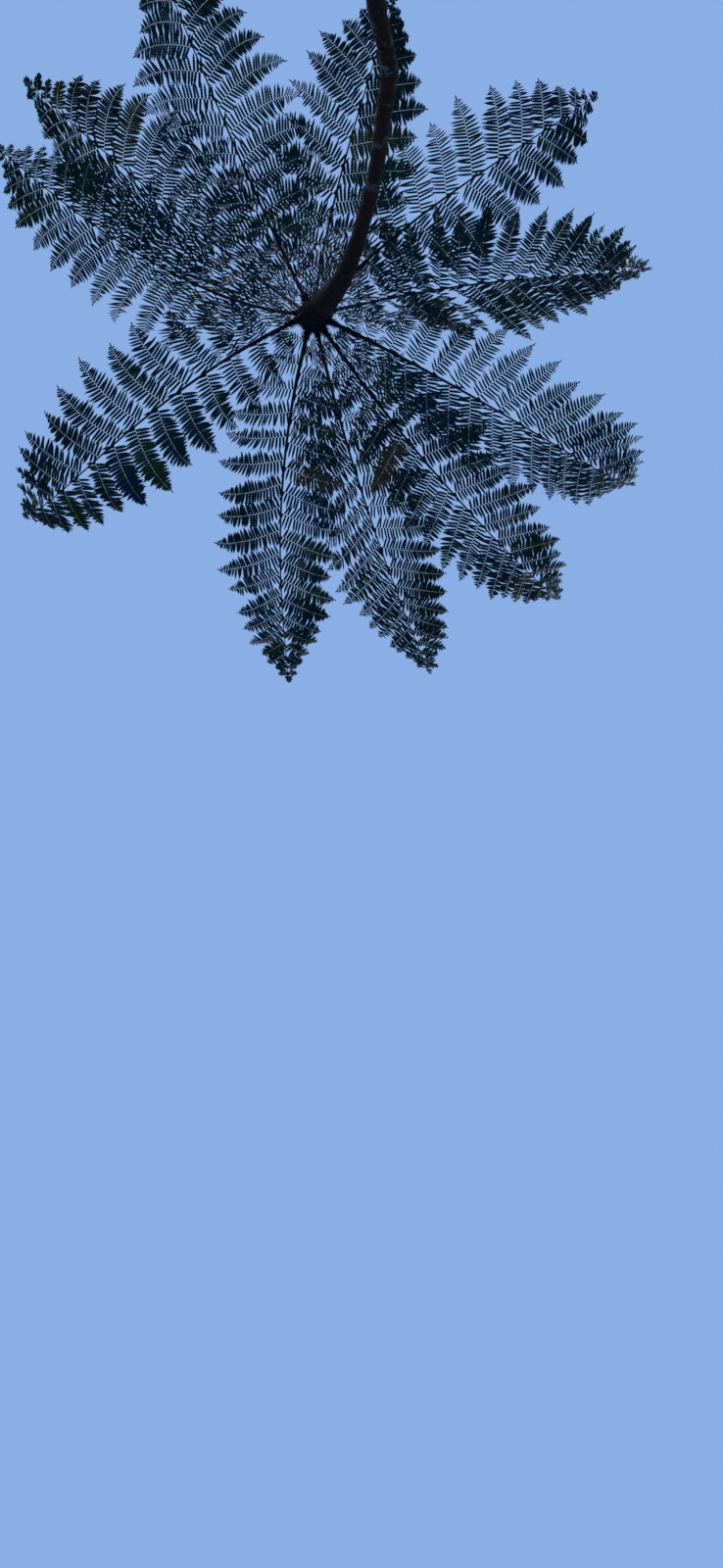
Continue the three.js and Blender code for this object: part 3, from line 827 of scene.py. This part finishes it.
def make_ribs(name, frond, knots, leaflets, materials, rng):
    """A frond's rib and the midribs of its leaflets. The rib is a tube, grooved along its top,
    stouter at the foot and warty on the stalk. Each midrib is a fine three-sided tube."""
    along = np.linspace(0, 1, RIB_RINGS) ** RIB_RING_POWER
    middle, _, left, above = rib_frame(knots, along, math.radians(frond["roll"]))
    turn = round_steps(RIB_SIDES)
    foot = np.exp(-((along * frond["length"] / FOOT_LENGTH) ** 2))
    radius = rib_radius(along) * (1 + FOOT_THICKENING * foot)
    groove = 1 - GROOVE_DEPTH * np.exp(-(((turn - math.pi / 2) / GROOVE_WIDTH) ** 2))
    warts = WART_SIZE * rng.standard_normal((RIB_RINGS, RIB_SIDES))
    warts = 1 + warts * np.exp(-along / WART_REACH)[:, None]
    rings = rings_round(middle, radius[:, None] * groove * warts, turn, left, above)
    points, faces = skin(rings[None])
    tubes = leaflets["length"].size
    owner = np.repeat(np.arange(tubes), MIDRIB_RINGS).reshape(tubes, MIDRIB_RINGS)
    way = np.tile(np.linspace(0, MIDRIB_END, MIDRIB_RINGS), (tubes, 1))
    line, tangent = leaflet_line(leaflets, owner, way)
    beside = unit(np.cross(leaflets["face"][owner], tangent))
    upright = np.cross(tangent, beside)
    thick = MIDRIB_RADIUS - MIDRIB_TAPER * way
    thick = thick * np.sqrt(leaflets["length"] / USUAL_LEAFLET)[:, None]
    corner = round_steps(MIDRIB_SIDES) - math.pi / 2
    spread = np.cos(corner)[:, None] * beside[:, :, None]
    spread = spread + np.sin(corner)[:, None] * upright[:, :, None]
    below = line - leaflets["face"][owner] * thick[..., None]
    fine, fine_faces = skin(below[:, :, None] + thick[..., None, None] * spread, len(points))
    counts = [sum(len(block) for block in group) for group in (faces, fine_faces)]
    points, dealt = np.vstack([points, fine]), np.repeat([0, 1], counts)
    return add_piece(name, points, faces + fine_faces, materials, dealt)


def make_fronds(settings, hub):
    """The fronds, each with a seed of its own: its leaflets, then its rib and midribs."""
    blade = [
        blade_material(f"Fern blade, {tint}", tuple(getattr(settings, f"{tint}_colour")))
        for tint in TINTS
    ]
    rib, flake = tuple(settings.rib_colour), tuple(settings.flake_colour)
    midrib, husk = tuple(settings.midrib_colour), tuple(settings.husk_colour)
    ribs = [
        rib_material("Scurfy rib", rib, flake, 90.0),
        rib_material("Leaflet midrib", midrib, husk, 300.0, 1.0),
    ]
    for i, frond in enumerate(FRONDS):
        rng = np.random.default_rng(FROND_SEED + i)
        knots = rib_knots(frond, hub)
        leaflets = leaflets_of(frond, knots, rng)
        name = f"frond-{i + 1:02d}"
        blades_piece = make_leaflets(f"{name}-leaflets", leaflets, settings, blade, rng)
        ribs_piece = make_ribs(f"{name}-ribs", frond, knots, leaflets, ribs, rng)
        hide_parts(name)
        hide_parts(name)


def crozier_path(crozier, hub):
    """A crozier's middle line and radius: up the stalk, then inwards over the top in a spiral whose
    radius, and the stalk's with it, shrinks by an even share each turn."""
    heading, height, coil = crozier
    facing = level_ways(np.array(math.radians(heading)))
    foot = hub + facing * CROZIER_SPREAD
    middle = foot + UP * (TIP_HEIGHT + height)
    middle = middle + facing * (CROZIER_LEAN * height - COIL_INSET * coil)
    turn = np.linspace(0, COIL_TURNS * 2 * math.pi, COIL_RINGS)
    ring = COIL_SHARE * coil * np.exp(-COIL_SHRINK * turn)
    spiral = middle + ring[:, None] * (np.cos(turn)[:, None] * facing + np.sin(turn)[:, None] * UP)
    rise = np.linspace(0, 1, CROZIER_STALK_RINGS)[:-1, None]
    lift = foot + UP * rise * (TIP_HEIGHT + height)
    lift = lift + facing * (spiral[0] - foot) @ facing * rise**3
    line = np.vstack([lift, spiral])
    radius = COIL_THICKNESS * coil * np.exp(-COIL_TAPER * np.append(np.zeros(len(lift)), turn))
    return line, np.minimum(radius, CROZIER_RADIUS), np.cross(UP, facing)


def make_croziers(settings, hub):
    """The croziers, each a tube on its path with ridges across it where leaflets lie folded."""
    rng = np.random.default_rng(CROZIER_SEED)
    stalk, scale = tuple(settings.stalk_colour), tuple(settings.scale_colour)
    material = rib_material("Scurfy young stalk", stalk, scale, 120.0)
    turn = round_steps(CROZIER_SIDES)
    for i, crozier in enumerate(CROZIERS):
        line, radius, sideways = crozier_path(crozier, hub)
        tangent = unit(np.gradient(line, axis=0))
        outwards = np.cross(tangent, sideways)
        ridges = RIDGE_SIZE * np.sin(np.arange(len(line)) * RIDGE_PACE)[:, None]
        ridges = 1 + ridges * (np.cos(turn) ** 2)
        ridges = ridges + FUZZ_SIZE * rng.standard_normal(ridges.shape)
        across = np.cross(tangent, outwards)
        rings = rings_round(line, radius[:, None] * ridges, turn, outwards, across)
        points, faces = skin(rings[None])
        piece = add_piece(f"crozier-{i + 1}-coil", points, faces, [material])
        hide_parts(f"crozier-{i + 1}")


def scale_shapes(root, aim, up, length, half):
    """Scales as points and faces: each is narrow, widest near its foot and pointed, in two bends
    that carry it away from what it grows on."""
    along, beside = SCALE_OUTLINE[None, :, :1], SCALE_OUTLINE[None, :, 1:]
    across = unit(np.cross(up, aim))
    points = root[:, None] + along * length[:, None, None] * aim[:, None]
    points = points + beside * half[:, None, None] * across[:, None]
    points = points + SCALE_LIFT * along**2 * length[:, None, None] * up[:, None]
    first = (np.arange(len(root)) * len(SCALE_OUTLINE))[:, None]
    fours = first + np.array([[0, 1, 2, 3]])
    threes = first + np.array([[3, 2, 4]])
    return points.reshape(-1, 3), [fours, threes]


def make_scales(settings, trunk, hub):
    """The scales between the stalks: on the trunk's tip, each a golden angle and an even rise on
    from the last and lying back on the dome, and round the foot of each stalk, pointing outwards
    along it."""
    rng = np.random.default_rng(SCALE_SEED)
    number = np.arange(settings.tip_scales)
    share = (number + 0.5) / settings.tip_scales
    climb = (TIP_HEIGHT + SCALES_BELOW - SCALE_TOP_GAP) * share
    height = trunk.crown_height - SCALES_BELOW + climb
    radius = trunk_radius(trunk, height)
    round_about = level_ways(number * GOLDEN_ANGLE)
    root = trunk_centre(trunk, height) + round_about * radius[:, None] * SCALE_ROOTING
    dome = smooth_step(trunk.crown_height, trunk.crown_height + TIP_HEIGHT, height)[:, None]
    up = unit(round_about * (1 - 0.75 * dome) + UP * dome)
    aim = unit(UP * (1 - 0.4 * dome) + round_about * 0.35 + 0.25 * rng.standard_normal(root.shape))
    blocks = [(root, aim, up)]
    for frond in FRONDS:
        knots = rib_knots(frond, hub)
        along = rng.uniform(*STALK_SCALE_ZONE, settings.stalk_scales) ** STALK_SCALE_POWER
        middle, forward, left, above = rib_frame(knots, along, math.radians(frond["roll"]))
        spin = rng.uniform(0, 2 * math.pi, along.size)[:, None]
        out = np.cos(spin) * left + np.sin(spin) * above
        lean = unit(forward + 0.25 * out + 0.2 * rng.standard_normal(out.shape))
        blocks.append((middle + out * 1.02 * rib_radius(along)[:, None], lean, out))
    root, aim, up = (np.vstack([block[i] for block in blocks]) for i in range(3))
    length = settings.scale_length * rng.uniform(*SCALE_LENGTHS, len(root))
    half = settings.scale_length * SCALE_SLIMNESS * rng.uniform(*SCALE_WIDTHS, len(root))
    points, faces = scale_shapes(root, aim, up, length, half)
    material = scale_material(tuple(settings.scale_colour))
    add_piece("crown-scales", points, faces, [material], smooth=False)


# Matt paint, rolled on. The eye gets an even pale grey, a little duller in patches 33 cm across.
def floor_material(colour):
    material, tree, shader, place = new_material("Plain painted floor")
    grain = add_node(tree, "TexNoise", {"Vector": place, "Scale": 3.0}).outputs["Fac"]
    rough = add_node(tree, "MapRange", {"Value": grain, "To Min": 0.8, "To Max": 0.95})
    feed(tree, shader, {"Base Color": colour, "Roughness": rough.outputs["Result"]})
    return material


def make_floor(settings):
    """A round floor: one flat face whose corners stand in equal steps on a circle."""
    mesh = bpy.data.meshes.new("floor")
    rim = level_ways(round_steps(FLOOR_SIDES)) * settings.floor_radius
    mesh.from_pydata(rim.tolist(), [], [list(range(FLOOR_SIDES))])
    mesh.materials.append(floor_material(tuple(settings.floor_colour)))
    floor = bpy.data.objects.new("floor", mesh)
    bpy.context.scene.collection.objects.link(floor)


def make_world(settings):
    """Soft light that turns from the low colour to the top colour as the way climbs, and for the
    camera alone a plain backdrop that turns from the wall's colour to the sky's."""
    world = bpy.data.worlds.new("studio")
    world.use_nodes = True
    tree = world.node_tree
    way = add_node(tree, "TexCoord").outputs["Generated"]
    slope = add_node(tree, "SeparateXYZ", {"Vector": way}).outputs["Z"]
    shown = []
    for (low, high), first, second, strength in (
        (LIGHT_CLIMB, settings.low_colour, settings.top_colour, 1.0),
        (BACKDROP_CLIMB, settings.wall_colour, settings.sky_colour, settings.backdrop_strength),
    ):
        climb = {"Value": slope, "From Min": low, "From Max": high}
        share = add_node(tree, "MapRange", climb).outputs["Result"]
        stops = [(0.0, tuple(first)), (1.0, tuple(second))]
        colour = add_node(tree, "ValToRGB", {"Fac": share}, stops).outputs["Color"]
        glow = add_node(tree, "Background", {"Color": colour, "Strength": strength})
        shown.append(glow.outputs["Background"])
    seen = add_node(tree, "LightPath").outputs["Is Camera Ray"]
    either = add_node(tree, "MixShader", {0: seen, 1: shown[0], 2: shown[1]})
    feed(tree, tree.nodes["World Output"], {"Surface": either.outputs["Shader"]})
    bpy.context.scene.world = world


def make_key(settings):
    """One wide soft light that comes down at a slant."""
    sun = bpy.data.lights.new("key", "SUN")
    sun.energy = settings.sun_strength
    sun.angle = math.radians(KEY_WIDTH)
    key = bpy.data.objects.new("key", sun)
    key.rotation_euler = (math.radians(KEY_TILT), math.radians(KEY_TURN), 0)
    bpy.context.scene.collection.objects.link(key)


def make_camera(settings):
    """The camera at eye height beside the trunk, looking up, with colours shown as they are."""
    scene = bpy.context.scene
    lens = bpy.data.cameras.new("camera")
    lens.lens = settings.lens
    camera = bpy.data.objects.new("camera", lens)
    camera.location = (0, settings.eye_offset, settings.eye_height)
    camera.rotation_euler = (math.pi / 2 + settings.eye_slope, 0, 0)
    scene.collection.objects.link(camera)
    scene.camera = camera
    scene.view_settings.view_transform = "Standard"


def colour_property(name, description, code):
    """A colour that the user can pick, with an sRGB hex value as its default."""
    look = {"subtype": "COLOR", "size": 4, "min": 0, "max": 1, "default": linear(code)}
    return bpy.props.FloatVectorProperty(name=name, description=description, **look)


def length_property(name, description, size):
    """A length in metres that the user can set."""
    look = {"subtype": "DISTANCE", "unit": "LENGTH", "min": 0, "default": size}
    return bpy.props.FloatProperty(name=name, description=description, **look)


def share_property(name, description, share):
    """A share or plain factor that the user can set."""
    return bpy.props.FloatProperty(name=name, description=description, default=share, min=0)


def count_property(name, description, count, least):
    """A whole number that the user can set."""
    return bpy.props.IntProperty(name=name, description=description, default=count, min=least)


class FernTrunkSettings(bpy.types.PropertyGroup):
    """Sizes and colours of the trunk."""

    crown_height: length_property("Crown height", "Height of the crown over the ground", 9.6)
    shaft_radius: length_property("Shaft radius", "Radius of the bare shaft", 0.034)
    mantle_radius: length_property("Mantle", "Most that the root mantle adds", 0.038)
    flare_radius: length_property("Flare", "Most that the flare adds at the ground", 0.058)
    swell_radius: length_property("Swelling", "Most that the swelling adds under the crown", 0.052)
    scar_rise: length_property("Scar rise", "Height from one leaf scar to the next", 0.02)
    scar_width: length_property("Scar width", "Width of a leaf scar", 0.03)
    scar_height: length_property("Scar height", "Height of a leaf scar", 0.046)
    bark_colour: colour_property("Bark", "Colour of the bark's ridges", "#2E2116")
    # The hollows' colour is painted shade, laid where the bark's fibre bump is lowest.
    hollow_shade_colour: colour_property("Hollows", "Colour of the bark's hollows", "#100B07")
    lichen_colour: colour_property("Lichen", "Colour of the lichen crusts", "#7E8073")
    moss_colour: colour_property("Moss", "Colour of the film near the ground", "#3E4A26")


class FernFrondSettings(bpy.types.PropertyGroup):
    """Sizes and colours of the fronds' leaflets and ribs."""

    pinnule_pitch: length_property("Pinnule pitch", "Pinnules' step on a 0.6 m leaflet", 0.0225)
    pinnule_length: share_property("Pinnule length", "Longest pinnule by the leaflet's length", 0.08)
    pitch_length: share_property("Pitch length", "What a pinnule adds by the leaflets' step", 0.35)
    pinnule_width: share_property("Pinnule width", "Pinnule's width by its step", 0.88)
    outer_width: share_property("Outer width", "Width of outer pinnules by inner ones'", 1.3)
    tip_width: share_property("Tip width", "What pinnules gain in width at the frond's tip", 0.45)
    crease: share_property("Crease", "Fall of a pinnule's edges by its half width", 0.3)
    long_pinnule: length_property("Long pinnule", "Length from which one has more lobes", 0.045)
    long_lobes: count_property("Lobes", "Lobes a side of long pinnules", 6, 2)
    short_lobes: count_property("Few lobes", "Lobes a side of short pinnules", 4, 2)
    deep_colour: colour_property("Deep green", "Colour of most leaflets", "#173F2D")
    blue_colour: colour_property("Blue green", "Colour of bluish leaflets", "#15403A")
    fresh_colour: colour_property("Fresh green", "Colour of younger leaflets", "#2C5026")
    olive_colour: colour_property("Olive", "Colour of yellowing leaflets", "#54582A")
    withered_colour: colour_property("Withered", "Colour of dead leaflets", "#6E5A2C")
    deep_share: share_property("Deep share", "Share of deep green leaflets", 0.62)
    blue_share: share_property("Blue share", "Share of bluish leaflets", 0.2)
    fresh_share: share_property("Fresh share", "Share of fresh green leaflets", 0.13)
    olive_share: share_property("Olive share", "Share of olive leaflets", 0.02)
    withered_share: share_property("Withered share", "Share of withered leaflets", 0.004)
    rib_colour: colour_property("Ribs", "Colour of the ribs", "#17110D")
    flake_colour: colour_property("Flakes", "Colour of the flakes on the ribs", "#30261D")
    husk_colour: colour_property("Husks", "Colour of the flakes on the midribs", "#B2B49E")
    midrib_colour: colour_property("Midribs", "Colour of the leaflets' midribs", "#C6C8B4")


class FernCrownSettings(bpy.types.PropertyGroup):
    """Sizes and colours of the croziers and scales."""

    stalk_colour: colour_property("Young stalk", "Colour of the croziers", "#4A3A22")
    scale_colour: colour_property("Scales", "Colour of the dry scales", "#160D05")
    scale_length: length_property("Scale length", "Length of the longest scales", 0.044)
    tip_scales: count_property("Tip scales", "Scales on the trunk's tip", 2400, 1)
    stalk_scales: count_property("Stalk scales", "Scales on each stalk", 520, 1)


class FernStageSettings(bpy.types.PropertyGroup):
    """Floor, light and camera."""

    floor_radius: length_property("Floor radius", "Radius of the round floor", 3.4)
    floor_colour: colour_property("Floor", "Colour of the floor", "#C9CBCC")
    sky_colour: colour_property("Backdrop above", "Colour of the backdrop overhead", "#8AAFE5")
    wall_colour: colour_property("Backdrop", "Colour of the backdrop all round", "#8F969C")
    backdrop_strength: share_property("Backdrop strength", "Brightness of the backdrop", 1.0)
    top_colour: colour_property("Top light", "Colour of the soft light from above", "#E4ECF8")
    low_colour: colour_property("Low light", "Colour of the soft light from below", "#2050A0")
    sun_strength: share_property("Key light", "Strength of the soft light from above", 2.4)
    eye_offset: length_property("Camera offset", "Camera's distance from the trunk's foot", 2.47)
    eye_height: length_property("Camera height", "Height of the camera", 1.5)
    eye_slope: bpy.props.FloatProperty(
        name="Camera slope",
        description="How far the camera looks up",
        default=math.radians(76),
        subtype="ANGLE",
        unit="ROTATION",
    )
    lens: bpy.props.FloatProperty(
        name="Lens", description="Focal length in millimetres", default=27, min=1
    )


class FERN_OT_trunk(bpy.types.Operator):
    """Make the trunk with its scars, stubs and root mantle"""

    bl_idname = "fern.trunk"
    bl_label = "Make trunk"

    def execute(self, context):
        make_trunk(context.scene.fern_trunk)
        return {"FINISHED"}


class FERN_OT_fronds(bpy.types.Operator):
    """Make each frond's leaflets and ribs"""

    bl_idname = "fern.fronds"
    bl_label = "Make fronds"

    def execute(self, context):
        make_fronds(context.scene.fern_fronds, crown_hub(context.scene.fern_trunk))
        return {"FINISHED"}


class FERN_OT_croziers(bpy.types.Operator):
    """Make the rolled-up young fronds"""

    bl_idname = "fern.croziers"
    bl_label = "Make croziers"

    def execute(self, context):
        make_croziers(context.scene.fern_crown, crown_hub(context.scene.fern_trunk))
        return {"FINISHED"}


class FERN_OT_scales(bpy.types.Operator):
    """Make the dry scales on the trunk's tip and the stalks' feet"""

    bl_idname = "fern.scales"
    bl_label = "Make scales"

    def execute(self, context):
        trunk = context.scene.fern_trunk
        make_scales(context.scene.fern_crown, trunk, crown_hub(trunk))
        return {"FINISHED"}


class FERN_OT_stage(bpy.types.Operator):
    """Make the floor, the lights and the camera"""

    bl_idname = "fern.stage"
    bl_label = "Make stage"

    def execute(self, context):
        for make in (make_floor, make_world, make_key, make_camera):
            make(context.scene.fern_stage)
        return {"FINISHED"}


OPERATORS = (FERN_OT_trunk, FERN_OT_fronds, FERN_OT_croziers, FERN_OT_scales, FERN_OT_stage)
GROUPS = {
    "fern_trunk": FernTrunkSettings,
    "fern_fronds": FernFrondSettings,
    "fern_crown": FernCrownSettings,
    "fern_stage": FernStageSettings,
}


class VIEW3D_PT_tree_fern(bpy.types.Panel):
    """The tree fern's pieces and their settings"""

    bl_label = "Tree fern"
    bl_space_type = "VIEW_3D"
    bl_region_type = "UI"
    bl_category = "Tree fern"

    def draw(self, context):
        for operator in OPERATORS:
            self.layout.operator(operator.bl_idname)
        for key, group in GROUPS.items():
            box = self.layout.box()
            for name in group.__annotations__:
                box.prop(getattr(context.scene, key), name)


def register():
    for group in (*GROUPS.values(), *OPERATORS, VIEW3D_PT_tree_fern):
        bpy.utils.register_class(group)
    for key, group in GROUPS.items():
        setattr(bpy.types.Scene, key, bpy.props.PointerProperty(type=group))


def unregister():
    for key in GROUPS:
        delattr(bpy.types.Scene, key)
    for group in (VIEW3D_PT_tree_fern, *reversed(OPERATORS), *reversed(GROUPS.values())):
        bpy.utils.unregister_class(group)


def main():
    register()
    bpy.ops.fern.trunk()
    bpy.ops.fern.fronds()
    bpy.ops.fern.croziers()
    bpy.ops.fern.scales()
    bpy.ops.fern.stage()


if __name__ == "__main__":
    main()
